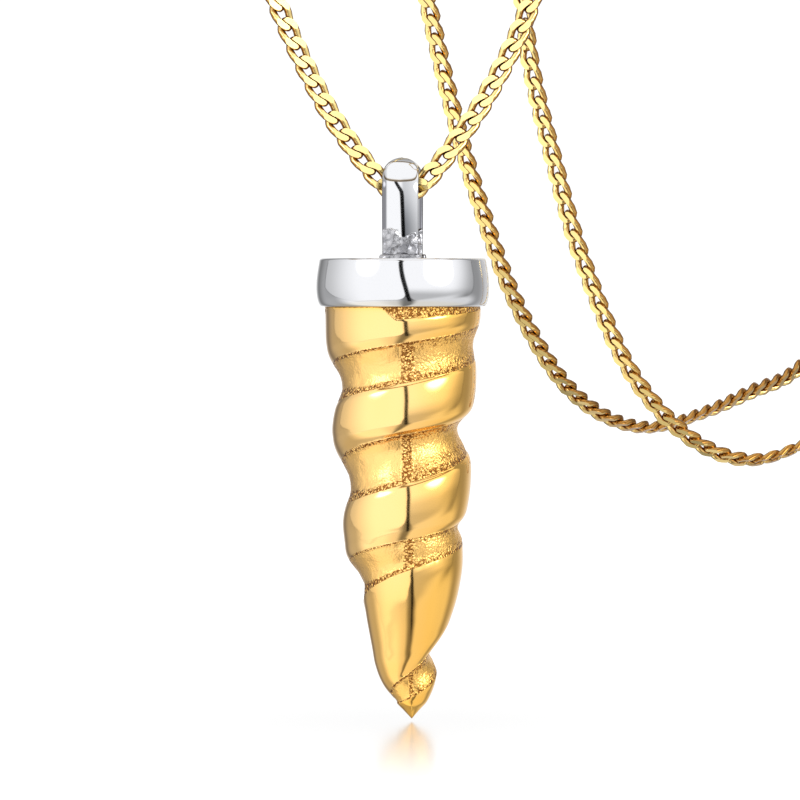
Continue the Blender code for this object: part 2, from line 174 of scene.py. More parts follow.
def new_primitive(name, add, **settings):
    """A primitive at the origin, ready to be shaped."""
    deselect_all()
    add(**settings)
    made = bpy.context.object
    made.name = made.data.name = name
    return made


def select_points(obj, test):
    """In edit mode, selects the points that pass the test, and the faces and edges between them."""
    bpy.ops.mesh.select_all(action="DESELECT")
    bm = bmesh.from_edit_mesh(obj.data)
    for vert in bm.verts:
        vert.select = bool(test(vert.co))
    bm.select_flush_mode()
    bmesh.update_edit_mesh(obj.data)


def apply_modifier(obj, kind, **settings):
    pick(obj)
    made = obj.modifiers.new(kind.title(), kind)
    for name, value in settings.items():
        setattr(made, name, value)
    bpy.ops.object.modifier_apply(modifier=made.name)


def finish_piece(obj, body, slot, material, *nodes):
    """Puts the piece's place into its mesh, dresses it and hangs it on its body."""
    pick(obj)
    bpy.ops.object.transform_apply(location=True, rotation=True, scale=True)
    obj.data.materials.clear()
    obj.data.materials.append(material)
    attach(obj, body)
    if nodes:
        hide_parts(*nodes)


class Wire:
    """A shader socket that can be added, multiplied and compared like a number."""

    def __init__(self, finish, socket):
        self.finish = finish
        self.socket = socket

    def maths(self, operation, *others):
        values = dict(enumerate((self, *others)))
        return self.finish.node("Math", {"operation": operation}, values)

    def __add__(self, other):
        return self.maths("ADD", other)

    __radd__ = __add__

    def __sub__(self, other):
        return self.maths("SUBTRACT", other)

    def __rsub__(self, other):
        return self.finish.node("Math", {"operation": "SUBTRACT"}, {0: other, 1: self})

    def __mul__(self, other):
        return self.maths("MULTIPLY", other)

    __rmul__ = __mul__

    def __truediv__(self, other):
        return self.maths("DIVIDE", other)

    def __abs__(self):
        return self.maths("ABSOLUTE")

    def at_least(self, other):
        return self.maths("MAXIMUM", other)

    def at_most(self, other):
        return self.maths("MINIMUM", other)

    def held(self):
        """Kept between 0 and 1."""
        return self.at_least(0.0).at_most(1.0)

    def rise(self, start, end):
        """Goes from 0 at start to 1 at end, without a kink at either."""
        settings = {"interpolation_type": "SMOOTHSTEP"}
        values = {"Value": self, "From Min": start, "From Max": end, "To Min": 0.0, "To Max": 1.0}
        return self.finish.node("MapRange", settings, values)


class Finish:
    """The node tree of a material or of the studio's surroundings."""

    def __init__(self, owner):
        owner.use_nodes = True
        self.owner = owner
        self.tree = owner.node_tree
        self.tree.nodes.clear()

    def node(self, kind, settings=None, values=None, out=0):
        made = self.tree.nodes.new("ShaderNode" + kind)
        for name, setting in (settings or {}).items():
            setattr(made, name, setting)
        for name, value in (values or {}).items():
            if isinstance(value, Wire):
                self.tree.links.new(value.socket, made.inputs[name])
            else:
                made.inputs[name].default_value = value
        return Wire(self, made.outputs[out]) if made.outputs else None

    def places(self):
        return self.node("TexCoord", out="Object")

    def noise(self, scale, detail=2.0, roughness=0.5):
        values = {"Vector": self.places(), "Scale": scale, "Detail": detail, "Roughness": roughness}
        return self.node("TexNoise", None, values, "Fac")

    def cells(self, scale):
        return self.node("TexVoronoi", None, {"Vector": self.places(), "Scale": scale}, "Distance")

    def mix(self, share, first, second):
        settings = {"data_type": "RGBA"}
        return self.node("Mix", settings, {"Factor": share, 6: first, 7: second}, 2)

    def crevice(self, reach, shut=0.1, free=0.6):
        """1 where the surface is shut in by what is nearer than the reach: ambient occlusion, used for
        painted shade.
        """
        values = {"Distance": reach}
        return 1.0 - self.node("AmbientOcclusion", {"samples": 8}, values, "AO").rise(shut, free)

    def bump(self, height, distance):
        values = {"Height": height, "Distance": distance, "Strength": 1.0}
        return self.node("Bump", None, values)

    def metal(self, colour, roughness, normal):
        values = {
            "Base Color": colour, "Roughness": roughness, "Normal": normal, "Metallic": 1.0,
        }
        shader = self.node("BsdfPrincipled", None, values)
        self.node("OutputMaterial", None, {"Surface": shader})
        return self.owner


PALE_GOLD = (1.0, 0.66, 0.28, 1.0)
DEEP_GOLD = (0.96, 0.55, 0.12, 1.0)
LIMB_SHADE_GOLD = (0.62, 0.33, 0.08, 1.0)
GRAIN_GOLD = (0.95, 0.56, 0.16, 1.0)
LINK_GOLD = (1.0, 0.8, 0.34, 1.0)
LINK_SIDE_SHADE_BROWN = (0.32, 0.125, 0.014, 1.0)
JOINT_SHADE_BROWN = (0.2, 0.07, 0.008, 1.0)
CREVICE_SHADE_BROWN = (0.28, 0.1, 0.012, 1.0)
PIT_BROWN = (0.2, 0.06, 0.006, 1.0)
POLISHED_STEEL = (0.66, 0.665, 0.685, 1.0)
HAZY_STEEL = (0.6, 0.61, 0.64, 1.0)
SHADED_STEEL = (0.16, 0.17, 0.19, 1.0)
RIM_SHADE_STEEL = (0.12, 0.12, 0.135, 1.0)
CAST_STEEL = (0.44, 0.44, 0.46, 1.0)
PIT_STEEL = (0.12, 0.12, 0.13, 1.0)


def gold_for_horn():
    """Polished ridges over grooves left as they were cast: satin, with grain and brown pits; painted
    shade deepens the right side, the hollows and the limbs, and browns the crevices.
    """
    look = Finish(bpy.data.materials.new("horn_gold"))
    cast = look.node("Attribute", {"attribute_name": "cast"}, None, "Fac")
    pitted_and_shaded = look.node("Attribute", {"attribute_name": "pitted_and_shaded"}, None, "Fac")
    across = look.node("SeparateXYZ", None, {"Vector": look.places()}, "X")
    height = look.node("SeparateXYZ", None, {"Vector": look.places()}, "Z")
    patches = look.noise(900.0, 3.0)
    grain = look.noise(5200.0, 2.0, 0.6)
    beads = look.cells(4000.0)
    swirl = look.noise(260.0, 1.0)
    rough = (cast + (patches - 0.5) * 0.5).rise(0.3, 0.6)
    coarse = rough * (0.14 + pitted_and_shaded * 0.86) * (0.45 + patches)
    edge = look.node("LayerWeight", None, {"Blend": 0.5}, "Facing").rise(0.45, 0.95)
    # painted shade: ambient occlusion deepens the gold in the grooves' hollows
    hollow_shade = look.crevice(3.0 * MM, 0.5, 1.0)
    # deeper gold towards the tip
    lower = 1.0 - height.rise(-98.0 * MM, -91.0 * MM)
    # the deeper gold: random swirls, deeper towards the tip, and painted shade on the right side and in
    # the hollows
    deep_tone_and_shade = across.rise(-1.0 * MM, 5.0 * MM) * 0.75 + swirl * 0.2 + hollow_shade * 0.9 + lower * 0.45
    colour = look.mix(deep_tone_and_shade.held(), PALE_GOLD, DEEP_GOLD)
    # painted shade: the limbs browner at grazing angles, most on the left
    limb_shade = edge * (0.66 - across.rise(-2.0 * MM, 5.0 * MM) * 0.42)
    colour = look.mix(limb_shade, colour, LIMB_SHADE_GOLD)
    colour = look.mix(rough * 0.5, colour, GRAIN_GOLD)
    # painted shade: brown in the crevices, from ambient occlusion
    colour = look.mix(look.crevice(0.9 * MM) * 0.8, colour, CREVICE_SHADE_BROWN)
    # dark pits in the rough casting; in the stripe at the front they are painted shade
    dark = (beads * 1.2 + (grain - 0.5) * 2.2 + pitted_and_shaded * 0.55 - 0.88).rise(0.0, 0.35)
    colour = look.mix(dark * rough * pitted_and_shaded.rise(0.1, 0.6) * 0.9, colour, PIT_BROWN)
    lumps = coarse * (grain * 0.9 + (0.6 - beads) * 0.9) + swirl * 0.01
    return look.metal(colour, 0.1 + rough * 0.16, look.bump(lumps, 0.00013))


def gold_for_chain():
    """Bright faces, with painted shade: the links' sides deeper brown, and brown in the joints between
    them and towards the outline.
    """
    look = Finish(bpy.data.materials.new("chain_gold"))
    side = look.node("Attribute", {"attribute_name": "side"}, None, "Fac")
    wear = look.noise(700.0, 2.0)
    file_marks = look.noise(3000.0, 2.0)
    edge = look.node("LayerWeight", None, {"Blend": 0.5}, "Facing").rise(0.35, 0.8)
    colour = look.mix(wear * 0.2, LINK_GOLD, DEEP_GOLD)
    # painted shade: the links' sides brown
    colour = look.mix(side * 0.9, colour, LINK_SIDE_SHADE_BROWN)
    # painted shade: darker brown in the joints and towards the outline
    shade = look.crevice(0.6 * MM, 0.2, 0.8).at_least(edge)
    colour = look.mix(shade * 0.9, colour, JOINT_SHADE_BROWN)
    return look.metal(colour, 0.1 + file_marks * 0.08, look.bump(file_marks, 0.000003))


def steel_for_cap():
    look = Finish(bpy.data.materials.new("polished_cap"))
    haze = look.noise(500.0, 2.0)
    colour = look.mix(haze * 0.2, POLISHED_STEEL, HAZY_STEEL)
    return look.metal(colour, 0.05 + haze * 0.03, look.bump(haze, 0.000002))


def steel_for_bail(pivot):
    """Polished above, with the foot left rough and darkened from soldering; painted shade darkens the
    right half of the legs and the strap's rims.
    """
    look = Finish(bpy.data.materials.new("bail_steel"))
    height = look.node("SeparateXYZ", None, {"Vector": look.places()}, "Z") - pivot[2]
    across = look.node("SeparateXYZ", None, {"Vector": look.places()}, "X")
    patches = look.noise(520.0, 2.0)
    facets = look.cells(1500.0)
    grain = look.noise(4200.0, 2.0, 0.6)
    edge = height + (patches - 0.5) * 0.0032 - abs(across) * 0.3
    rough = 1.0 - edge.rise(-4.5 * MM, -4.1 * MM)
    # painted shade: the right half of the legs darker, most next to the middle and towards the foot
    leg_shade = across.rise(-0.25 * MM, 0.1 * MM) * (1.0 - across.rise(0.1 * MM, 1.5 * MM) * 0.6)
    leg_shade = leg_shade * (1.0 - height.rise(-3.5 * MM, 1.0 * MM) * 0.5)
    leg_shade = leg_shade * (1.0 - height.rise(0.8 * MM, 1.5 * MM))
    colour = look.mix(leg_shade * 0.9, POLISHED_STEEL, SHADED_STEEL)
    # painted shade: dark rims at grazing angles and along the strap's edges
    rim = look.node("LayerWeight", None, {"Blend": 0.5}, "Facing").rise(0.42, 0.8)
    lip = abs(across).rise(1.5 * MM, 1.74 * MM) * (1.0 - height.rise(0.6 * MM, 2.0 * MM) * 0.5)
    colour = look.mix(rim.at_least(lip) * 0.9, colour, RIM_SHADE_STEEL)
    colour = look.mix(rough * 0.8, colour, CAST_STEEL)
    pits = (grain * 0.5 + facets - 0.45).rise(0.1, 0.45) * rough
    colour = look.mix(pits * 0.45, colour, PIT_STEEL)
    bumps = look.bump(rough * (facets * 1.1 + grain * 0.2 + patches), 0.00012)
    return look.metal(colour, 0.06 + rough * 0.14, bumps)


class Route:
    """The chain's middle, measured along its length from the bail."""

    SPAN = 24

    def __init__(self):
        points = np.array(CHAIN_ROUTE)
        samples = []
        for i in range(len(points)):
            p0, p1, p2, p3 = (points[(i + k) % len(points)] for k in (-1, 0, 1, 2))
            t1 = math.sqrt(np.linalg.norm(p1 - p0))
            t2 = t1 + math.sqrt(np.linalg.norm(p2 - p1))
            t3 = t2 + math.sqrt(np.linalg.norm(p3 - p2))
            t = np.linspace(t1, t2, self.SPAN, endpoint=False)[:, None]
            a1 = (t1 - t) / t1 * p0 + t / t1 * p1
            a2 = (t2 - t) / (t2 - t1) * p1 + (t - t1) / (t2 - t1) * p2
            a3 = (t3 - t) / (t3 - t2) * p2 + (t - t2) / (t3 - t2) * p3
            b1 = (t2 - t) / t2 * a1 + t / t2 * a2
            b2 = (t3 - t) / (t3 - t1) * a2 + (t - t1) / (t3 - t1) * a3
            samples.append((t2 - t) / (t2 - t1) * b1 + (t - t1) / (t2 - t1) * b2)
        curve = np.concatenate(samples + [points[:1]])
        runs = np.linalg.norm(np.diff(curve, axis=0), axis=1)
        scale = CHAIN_LENGTH / runs.sum()
        self.points = curve * scale
        self.along = np.concatenate([[0.0], np.cumsum(runs)]) * scale
        outermost = int(points[:, 0].argmax())
        self.clasp = self.along[outermost * self.SPAN]

    def at(self, run):
        return Vector([np.interp(run, self.along, self.points[:, k]) for k in range(3)])

    def number(self, run):
        """How many of the route's points have been passed."""
        return float(np.interp(run, self.along, np.arange(len(self.along)))) / self.SPAN

    def frame(self, run):
        """Where a link lies: X along the chain, Z out of its flat face."""
        step = LINK_LENGTH / 4
        way = (self.at(run + step) - self.at(run - step)).normalized()
        stations, turns, ups = np.array(CHAIN_FACING, float).T
        number = self.number(run)
        turn = math.radians(np.interp(number, stations, turns))
        up = float(np.interp(number, stations, ups))
        face = Vector((math.sin(turn), -math.cos(turn), 0.0)) * (1.0 - abs(up)) + Vector((0, 0, up))
        face = (face - way * face.dot(way)).normalized()
        side = face.cross(way)
        turned = Matrix((way, side, face)).transposed().to_4x4()
        return Matrix.Translation(self.at(run)) @ turned @ Matrix.Rotation(LINK_TILT, 4, "Y")


def make_link(name, around, sides, handed):
    """One curb link along X: an oval ring, twisted and then filed flat on both faces."""
    middle = (LINK_WIDTH - LINK_WIRE) / 2
    link = new_primitive(
        name, bpy.ops.mesh.primitive_torus_add, major_segments=around, minor_segments=sides,
        major_radius=middle, minor_radius=LINK_WIRE / 2,
    )
    # Each slice of the wire is carried outwards whole, so the long ring keeps a round wire
    for vert in link.data.vertices:
        along = math.cos(math.atan2(vert.co.y, vert.co.x))
        end = 0.0 if abs(along) < 0.01 else math.copysign(1.0, along)
        share = LINK_OVAL * along + (1.0 - LINK_OVAL) * end
        vert.co.x += (LINK_LENGTH - LINK_WIDTH) / 2 * share
    twist = handed * LINK_TURN
    apply_modifier(link, "SIMPLE_DEFORM", deform_method="TWIST", deform_axis="X", angle=twist)
    bpy.ops.object.mode_set(mode="EDIT")
    for side in (1, -1):
        bpy.ops.mesh.select_all(action="SELECT")
        bpy.ops.mesh.bisect(
            plane_co=(0, 0, side * LINK_FLAT), plane_no=(0, 0, side), use_fill=True, clear_outer=True,
            threshold=CUT_TOLERANCE,
        )
        bpy.ops.mesh.mark_sharp()
    bpy.ops.object.mode_set(mode="OBJECT")
    # How far each face is turned away from the chain's two filed sides; the chain's material paints the
    # turned faces brown as shade
    faces = link.data.polygons
    facing = np.repeat([abs(face.normal.z) for face in faces], [face.loop_total for face in faces])
    layer = link.data.attributes.new("side", "FLOAT", "CORNER")
    layer.data.foreach_set("value", 1.0 - smooth_step(facing, 0.5, 0.99))
    return link


def make_ring(name, radius, wire):
    return new_primitive(
        name, bpy.ops.mesh.primitive_torus_add, major_segments=28, minor_segments=10,
        major_radius=radius, minor_radius=wire / 2,
    )


def copy_to(pattern, place):
    """A copy of the pattern with its own mesh, laid at its place."""
    made = pattern.copy()
    made.data = pattern.data.copy()
    made.data.transform(place)
    bpy.context.scene.collection.objects.link(made)
    return made


def join_as(name, pieces):
    deselect_all()
    for piece in pieces:
        piece.select_set(True)
    bpy.context.view_layer.objects.active = pieces[0]
    bpy.ops.object.join()
    joined = bpy.context.object
    joined.name = joined.data.name = name
    return joined


def make_chain(name, node, route, start, end, patterns, ring, ring_run, material):
    """Links from start to end along the route, and the ring that ties them to the clasp."""
    count = round((end - start) / LINK_PITCH)
    pitch = (end - start) / count
    pieces = []
    for k in range(count):
        run = start + (k + 0.5) * pitch
        number = route.number(run)
        mirrored = number > FRONT_RIGHT_START
        near = mirrored or number < FRONT_LEFT_END
        pieces.append(copy_to(patterns[near, mirrored], route.frame(run)))
    upright = Matrix.Rotation(math.pi / 2, 4, "X")
    pieces.append(copy_to(ring, route.frame(ring_run) @ upright))
    chain = join_as(name, pieces)
    bpy.ops.object.shade_smooth_by_angle(angle=math.radians(38))
    finish_piece(chain, NECKLACE, "gold_chain", material, node)


def make_chains(route):
    material = gold_for_chain()
    patterns = {
        (True, False): make_link("link_near", 28, 12, -1),
        (True, True): make_link("link_near_mirrored", 28, 12, 1),
        (False, False): make_link("link_far", 20, 10, -1),
    }
    ring = make_ring("clasp_ring", CLASP_RING_RADIUS, CLASP_RING_WIRE)
    total = route.along[-1]
    left_end, right_start = route.clasp - CLASP_TO_LINKS, route.clasp + CLASP_TO_LINKS
    make_chain(
        "left_links", "chain_left", route, 0.0, left_end, patterns, ring,
        route.clasp - CLASP_TO_RING, material,
    )
    make_chain(
        "right_links", "chain_right", route, right_start, total, patterns, ring,
        route.clasp + CLASP_TO_RING, material,
    )
    for pattern in (*patterns.values(), ring):
        bpy.data.objects.remove(pattern)
    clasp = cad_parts["clasp"]
    clasp.data.materials.clear()
    clasp.data.materials.append(material)


def smooth_column(at, table, column):
    """A table's column read between its rows with a smooth curve."""
    rows = np.array(table, float)
    x, y = rows[:, 0], rows[:, column]
    slope = np.gradient(y, x)
    at = np.clip(at, x[0], x[-1])
    i = np.clip(np.searchsorted(x, at, side="right") - 1, 0, len(x) - 2)
    width = x[i + 1] - x[i]
    t = (at - x[i]) / width
    rise = (y[i + 1] - y[i]) * (3 - 2 * t) * t**2
    bend = width * (slope[i] * t * (1 - t) ** 2 - slope[i + 1] * t**2 * (1 - t))
    return y[i] + rise + bend


def smooth_step(value, start, end):
    t = np.clip((value - start) / (end - start), 0.0, 1.0)
    return t * t * (3 - 2 * t)


def section_shares():
    """The grid's rows between two ledges, closest together in the rough part of the groove."""
    ends = [share for share, _ in SECTION_ROWS[1:]] + [1.0]
    spans = [
        np.linspace(share, end, count, endpoint=False)
        for (share, count), end in zip(SECTION_ROWS, ends)
    ]
    return np.concatenate(spans)


def horn_surface(turn, share_down, around):
    """The horn's surface, how rough it is and where it has pits and painted shade, for shares of the
    way between ledges.
    """
    nominal = turn + share_down + around
    lean = smooth_column(nominal, LEDGE_PATH, 3)
    along = turn + share_down ** (1 / lean) + around
    share = np.clip(smooth_column(along, LEDGE_PATH, 1), 0.0, 1.0)
    groove = smooth_column(nominal, LEDGE_PATH, 2)
    fade = np.minimum(1.0, np.minimum(share / 0.08, (1.0 - share) / 0.16))
    cut = smooth_column(share_down, GROOVE_SECTION, 1)
    ridge = (CAP_FOOT_RADIUS - CAP_OVERHANG) * smooth_column(share, HORN_OUTLINE, 1)
    cast = smooth_step(share_down, 0.58, 0.63) * (1.0 - smooth_step(share_down, 0.985, 1.0))
    cast *= np.clip(groove / 0.3, 0.0, 1.0) * np.clip(fade / 0.12, 0.0, 1.0)
    angle = -2 * math.pi * around
    # A rough lens under the cap, from the front round to the right side
    from_front = np.degrees(angle + math.pi / 2)
    from_front = (from_front + 180) % 360 - 180
    lens = np.interp(from_front, *np.array(CAP_LENS).T) * MM
    under = smooth_step(lens - share * HORN_LENGTH, -0.1 * MM, 0.15 * MM)
    cast = np.maximum(cast, under)
    # Satin to the left of the front, a stripe of pits at the front that is darkened as painted shade
    # for the reflected dark gap, grain to its right; more pits along the groove's upper edge and on the
    # ledge
    # painted shade: the stripe at the front gets extra dark pits
    column = smooth_step(from_front, -3, 0) * (1.0 - smooth_step(from_front, 7, 12))
    middle = smooth_step(share_down, 0.66, 0.76) * (1.0 - smooth_step(share_down, 0.84, 0.92))
    grainy = smooth_step(np.abs(from_front + 40), 36, 42) * (0.5 - middle * 0.3)
    brink = 0.93 - 0.08 * smooth_step(-from_front, 30, 80)
    ends = np.maximum(
        1.0 - smooth_step(share_down, 0.61, 0.65), smooth_step(share_down, brink, brink + 0.03)
    )
    pitted_and_shaded = np.maximum(np.maximum(column, grainy), np.maximum(ends * 0.9, under * 0.6))
    radius = np.maximum(0.0, ridge - GROOVE_DEPTH * cut * groove * fade - LENS_DEPTH * under)
    drift = TIP_DRIFT * share**3
    x, y = drift + radius * np.cos(angle), radius * np.sin(angle)
    return np.stack([x, y, -HORN_LENGTH * share], axis=-1), cast, pitted_and_shaded


def make_horn(pivot):
    """A sheet rolled up round the spiral: its rows follow the groove, so the ledge stays crisp."""
    shares = section_shares()
    first, last = -2, 4
    rows = (last - first) * len(shares)
    horn = new_primitive(
        "cast_horn", bpy.ops.mesh.primitive_grid_add, x_subdivisions=rows - 1,
        y_subdivisions=HORN_COLUMNS, size=2.0,
    )
    flat = np.empty(len(horn.data.vertices) * 3)
    horn.data.vertices.foreach_get("co", flat)
    flat = flat.reshape(-1, 3)
    row = np.rint((flat[:, 0] + 1) / 2 * (rows - 1)).astype(int)
    around = (flat[:, 1] + 1) / 2
    turn = first + row // len(shares)
    places, cast, pitted_and_shaded = horn_surface(turn, shares[row % len(shares)], around)
    top = Vector(pivot) - Vector((0, 0, BAIL_REACH + CAP_HEIGHT))
    horn.data.vertices.foreach_set("co", (places + np.array(top)).ravel())
    for name, values in (("cast", cast), ("pitted_and_shaded", pitted_and_shaded)):
        layer = horn.data.attributes.new(name, "FLOAT", "POINT")
        layer.data.foreach_set("value", values.astype(np.float32))
    bpy.ops.object.mode_set(mode="EDIT")
    bpy.ops.mesh.select_all(action="SELECT")
    bpy.ops.mesh.remove_doubles(threshold=HORN_MERGE_WITHIN)
    bpy.ops.mesh.select_all(action="SELECT")
    bpy.ops.mesh.dissolve_degenerate(threshold=MERGE_WITHIN)
    bpy.ops.mesh.delete_loose()
    bpy.ops.mesh.select_all(action="SELECT")
    bpy.ops.mesh.fill_holes(sides=0)
    bpy.ops.mesh.select_all(action="SELECT")
    bpy.ops.mesh.normals_make_consistent(inside=False)
    bpy.ops.object.mode_set(mode="OBJECT")
    roughen(horn)
    pick(horn)
    bpy.ops.object.shade_smooth()
    finish_piece(horn, PENDANT, "gold_horn", gold_for_horn(), "horn")


def roughen(horn):
    """Lumps of the casting where the surface was left rough, and grain where it is pitted."""
    cast, pitted_and_shaded = np.empty((2, len(horn.data.vertices)), np.float32)
    horn.data.attributes["cast"].data.foreach_get("value", cast)
    horn.data.attributes["pitted_and_shaded"].data.foreach_get("value", pitted_and_shaded)
    for name, weights, size, strength in (
        ("lumps", cast, 1.1 * MM, 0.1 * MM),
        ("grain", cast * pitted_and_shaded, 0.3 * MM, 0.09 * MM),
    ):
        group = horn.vertex_groups.new(name=name)
        levels = np.round(weights, 1)
        for level in np.unique(levels[levels > 0]):
            group.add(np.flatnonzero(levels == level).tolist(), float(level), "REPLACE")
        texture = bpy.data.textures.new(name, "CLOUDS")
        texture.noise_scale = size
        apply_modifier(
            horn, "DISPLACE", texture=texture, strength=strength, mid_level=0.5,
            vertex_group=name, texture_coords="LOCAL",
        )
    horn.vertex_groups.clear()


def make_cap(pivot):
    """A barrel turned from its profile: a crisp upper edge and a softly rounded lower one."""
    profile = [(0.0, 0.0)]
    for angle in np.linspace(0, math.pi / 2, 9):
        radius = CAP_TOP_RADIUS - CAP_ROUNDING * (1 - math.sin(angle))
        profile.append((radius, -CAP_ROUNDING * (1 - math.cos(angle))))
    bend = CAP_HEIGHT - CAP_FOOT_BEND
    for share in np.linspace(0, 1, 22)[1:-1]:
        swell = (CAP_RADIUS - CAP_TOP_RADIUS) * math.sin(math.pi / 2 * share)
        profile.append((CAP_TOP_RADIUS + swell, -CAP_ROUNDING - (bend - CAP_ROUNDING) * share))
    inset = CAP_RADIUS - CAP_FOOT_RADIUS + CAP_FOOT_INSET
    for angle in np.linspace(0, math.pi / 2, 25):
        radius = CAP_RADIUS - inset * (1 - math.cos(angle))
        profile.append((radius, -bend - CAP_FOOT_BEND * math.sin(angle)))
    profile.append((0.0, -CAP_HEIGHT))
    mesh = bpy.data.meshes.new("round_cap")
    edges = [(k, k + 1) for k in range(len(profile) - 1)]
    mesh.from_pydata([(r, 0.0, z) for r, z in profile], edges, [])
    cap = bpy.data.objects.new("round_cap", mesh)
    bpy.context.scene.collection.objects.link(cap)
    pick(cap)
    bpy.ops.object.mode_set(mode="EDIT")
    bpy.ops.mesh.select_all(action="SELECT")
    bpy.ops.mesh.spin(steps=160, angle=2 * math.pi, center=(0, 0, 0), axis=(0, 0, 1))
    bpy.ops.mesh.select_all(action="SELECT")
    bpy.ops.mesh.remove_doubles(threshold=MERGE_WITHIN)
    bpy.ops.mesh.select_all(action="SELECT")
    bpy.ops.mesh.normals_make_consistent(inside=False)
    bpy.ops.object.mode_set(mode="OBJECT")
    bpy.ops.object.shade_smooth_by_angle(angle=math.radians(40))
    cap.location = Vector(pivot) - Vector((0, 0, BAIL_REACH))
    finish_piece(cap, PENDANT, "polished_steel", steel_for_cap(), "cap_with_bail")


def make_bail(pivot):
    """A half-round strap spun over the chain, its ends drawn down to the cap."""
    half = BAIL_WIDTH / 2
    ring = [(-0.92 * half, BAIL_HOLE, 0.0), (-0.985 * half, BAIL_HOLE + 0.1 * BAIL_WALL, 0.0)]
    for angle in np.radians(np.linspace(90, 0, 15)):
        wall = BAIL_EDGE + (1.0 - BAIL_EDGE) * math.cos(angle)
        ring.append((-half * math.sin(angle), BAIL_HOLE + BAIL_WALL * wall, 0.0))
    ring += [(-x, y, z) for x, y, z in reversed(ring[:-1])]
    ring = [(x, y + math.tan(BAIL_TURN) * x * (y > BAIL_HOLE + 0.2 * BAIL_WALL), z) for x, y, z in ring]
    mesh = bpy.data.meshes.new("bail")
    mesh.from_pydata(ring, [(k, (k + 1) % len(ring)) for k in range(len(ring))], [])
    bail = bpy.data.objects.new("bail", mesh)
    bpy.context.scene.collection.objects.link(bail)
    pick(bail)
    bpy.ops.object.mode_set(mode="EDIT")
    bpy.ops.mesh.select_all(action="SELECT")
    bpy.ops.mesh.spin(steps=40, angle=-math.pi, center=(0, 0, 0), axis=(1, 0, 0))
    for side in (1, -1):
        for _ in range(BAIL_DRAWS):
            lowest = min(v.co.z for v in bmesh.from_edit_mesh(bail.data).verts if v.co.y * side > 0)
            select_points(bail, lambda co: co.y * side > 0 and co.z < lowest + 0.01 * MM)
            drop = (0, 0, -BAIL_REACH / BAIL_DRAWS)
            bpy.ops.mesh.extrude_region_move(TRANSFORM_OT_translate={"value": drop})
    bpy.ops.mesh.select_all(action="SELECT")
    bpy.ops.mesh.remove_doubles(threshold=MERGE_WITHIN)
    bpy.ops.mesh.select_all(action="SELECT")
    bpy.ops.mesh.fill_holes(sides=0)
    bpy.ops.mesh.select_all(action="SELECT")
    bpy.ops.mesh.normals_make_consistent(inside=False)
    bpy.ops.object.mode_set(mode="OBJECT")
    dome_middle = BAIL_HOLE + BAIL_WALL - half
    for vert in bail.data.vertices:
        above, below = max(0.0, vert.co.z - dome_middle), max(0.0, -vert.co.z)
        limit = math.sqrt(max(0.0, half**2 - above**2))
        vert.co.x = max(-limit, min(limit, vert.co.x))
        vert.co.y -= math.copysign(BAIL_LEAN * (below / BAIL_REACH) ** 2, vert.co.y)
    bpy.ops.object.shade_smooth_by_angle(angle=math.radians(50))
    bail.rotation_euler = (0, 0, BAIL_TURN)
    bail.location = pivot
    finish_piece(bail, PENDANT, "polished_steel", steel_for_bail(pivot), "cap_with_bail")


def make_solder(pivot, material):
    """A low uneven bead of solder round each foot of the bail."""
    beads = []
    for side in (1, -1):
        bead = new_primitive("solder", bpy.ops.mesh.primitive_cube_add, size=1.0)
        bead.scale = SOLDER_SIZE
        bead.location = (0, side * (BAIL_HOLE + BAIL_WALL / 2 - BAIL_LEAN), -BAIL_REACH + SOLDER_RISE)
        bpy.ops.object.transform_apply(location=True, rotation=True, scale=True)
        apply_modifier(bead, "BEVEL", width=SOLDER_BEVEL, segments=3)
        apply_modifier(bead, "SUBSURF", levels=3, render_levels=3)
        beads.append(bead)
    solder = join_as("solder", beads)
    texture = bpy.data.textures.new("solder", "CLOUDS")
    texture.noise_scale = SOLDER_LUMPS
    apply_modifier(
        solder, "DISPLACE", texture=texture, strength=SOLDER_UNEVEN, mid_level=0.5,
        texture_coords="LOCAL",
    )
    bpy.ops.object.shade_smooth()
    solder.rotation_euler = (0, 0, BAIL_TURN)
    solder.location = pivot
    finish_piece(solder, PENDANT, "polished_steel", material, "cap_with_bail")


def make_camera():
    """The photograph's view: slightly above level, straight at the pendant."""
    lens = bpy.data.cameras.new("camera")
    lens.lens, lens.sensor_width = CAMERA_LENS, CAMERA_FILM
    camera = bpy.data.objects.new("camera", lens)
    camera.location = CAMERA_PLACE
    camera.rotation_euler = (math.radians(90 - CAMERA_DIP), 0, 0)
    bpy.context.scene.collection.objects.link(camera)
    bpy.context.scene.camera = camera


def panel(azimuth, height, left, right, low, high, corner):
    """Signed distance in degrees to a light panel with rounded corners: below 0 inside it."""
    across = abs(azimuth - (left + right) / 2) - ((right - left) / 2 - corner)
    up = abs(height - (low + high) / 2) - ((high - low) / 2 - corner)
    outside = (across.at_least(0.0) * across.at_least(0.0) + up.at_least(0.0) * up.at_least(0.0))
    return outside.maths("SQRT") + across.at_least(up).at_most(0.0) - corner


def spot(azimuth, height, at_azimuth, at_height, wide, tall):
    """1 in the middle of a soft round patch of light, 0 outside it."""
    across, up = (azimuth - at_azimuth) / wide, (height - at_height) / tall
    return 1.0 - (across * across + up * up).maths("SQRT").rise(0.3, 1.0)


